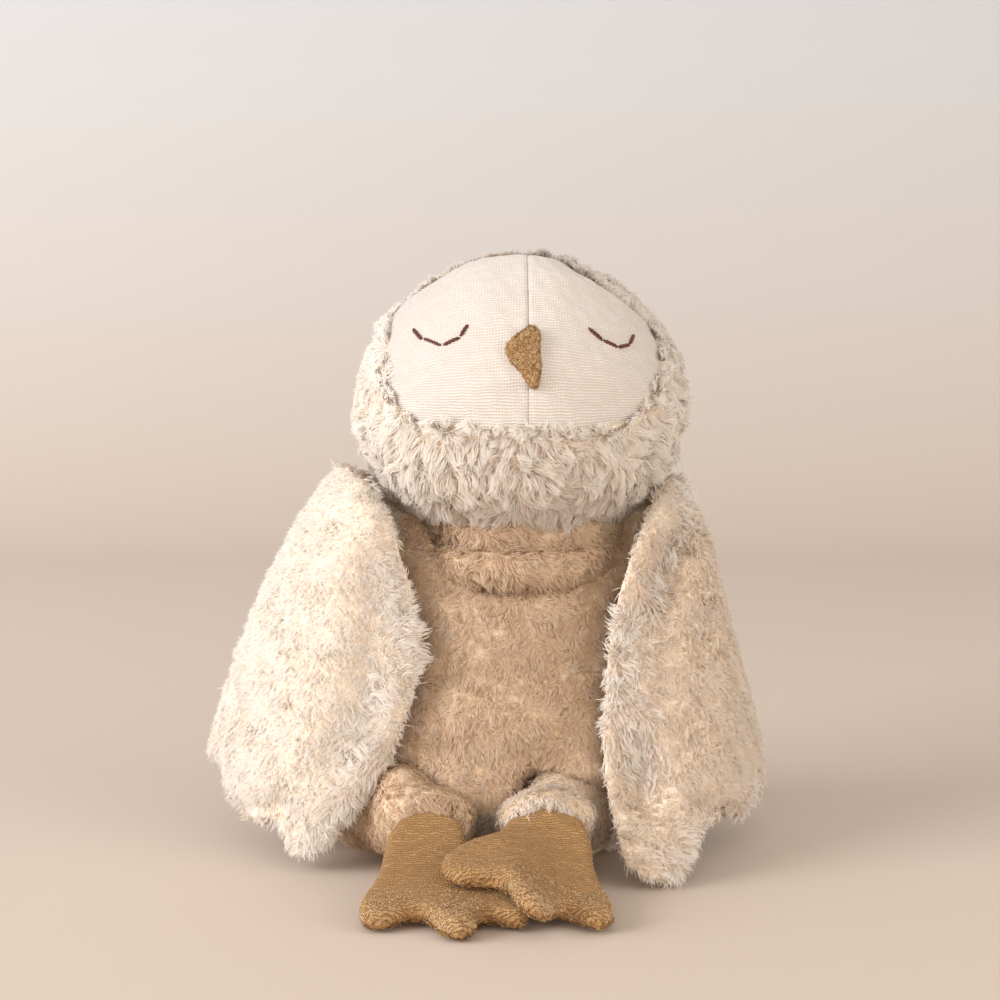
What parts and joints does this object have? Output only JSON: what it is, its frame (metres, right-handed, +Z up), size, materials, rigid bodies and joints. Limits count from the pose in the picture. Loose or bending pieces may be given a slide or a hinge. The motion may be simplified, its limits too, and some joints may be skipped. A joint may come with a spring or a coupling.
{
  "type": "plush owl",
  "caption": "Sitting plush owl: a sleeping velour face and padded beak in a furry head that turns and nods, wings that lift, short legs and flat terry feet, over a bean-weighted body.",
  "frame": {"origin": "middle of the flat seat that the owl sits on", "axes": "+Z up, the face looks along -Y, the owl's own right wing is on -X"},
  "size_m": [0.2412, 0.2041, 0.2425],
  "materials": {
    "plush": "long matted cream pile, about 9 mm",
    "velour": "cream knitted velour with fine ribs 1.2 mm apart",
    "terry": "ochre looped terry cloth",
    "thread": "dark brown embroidery thread",
    "fibre": "white polyester filling",
    "cotton": "undyed cotton bag of plastic beans"
  },
  "bodies": {
    "body": {"body_front_panel": "plush", "body_back_panel": "plush", "body_base_panel": "plush", "body_stuffing": "fibre", "bean_pouch": "cotton"},
    "neck": {"neck_roll": "plush"},
    "head": {"head_fur_hood": "plush", "head_stuffing": "fibre", "face_panel_left": "velour", "face_panel_right": "velour", "beak": "terry", "eye_stitch_left": "thread", "eye_stitch_right": "thread"},
    "wing_left": {"wing_left_plush": "plush", "wing_left_lining": "plush"},
    "wing_right": {"wing_right_plush": "plush", "wing_right_lining": "plush"},
    "leg_left": {"leg_left_fur": "plush", "leg_left_stuffing": "fibre"},
    "leg_right": {"leg_right_fur": "plush", "leg_right_stuffing": "fibre"},
    "foot_left": {"foot_left_upper": "terry", "foot_left_sole": "terry"},
    "foot_right": {"foot_right_upper": "terry", "foot_right_sole": "terry"}
  },
  "joints": [
    {"name": "neck_turn", "type": "hinge", "parent": "body", "child": "neck", "pos_m": [0.008, 0, 0.1105], "axis": [0, 0, 1], "range_deg": [-40, 40]},
    {"name": "head_nod", "type": "hinge", "parent": "neck", "child": "head", "pos_m": [0.008, 0, 0.183], "axis": [1, 0, 0], "range_deg": [-20, 20]},
    {"name": "wing_left_lift", "type": "hinge", "parent": "body", "child": "wing_left", "pos_m": [-0.06311, 0.006, 0.14592], "axis": [0, 1, 0], "range_deg": [0, 50]},
    {"name": "wing_right_lift", "type": "hinge", "parent": "body", "child": "wing_right", "pos_m": [0.07093, 0.006, 0.14387], "axis": [0, -1, 0], "range_deg": [0, 50]},
    {"name": "leg_left_swing", "type": "hinge", "parent": "body", "child": "leg_left", "pos_m": [-0.05, -0.0285, 0.0212], "axis": [-1, 0, 0], "range_deg": [-30, 0]},
    {"name": "leg_right_swing", "type": "hinge", "parent": "body", "child": "leg_right", "pos_m": [0.032, -0.0285, 0.0212], "axis": [-1, 0, 0], "range_deg": [0, 15]},
    {"name": "foot_left_flap", "type": "hinge", "parent": "leg_left", "child": "foot_left", "pos_m": [-0.0265, -0.0825, 0.0277], "axis": [-1, 0, 0], "range_deg": [-20, 0]},
    {"name": "foot_right_flap", "type": "hinge", "parent": "leg_right", "child": "foot_right", "pos_m": [0.0165, -0.0825, 0.0277], "axis": [-1, 0, 0], "range_deg": [0, 35]}
  ]
}
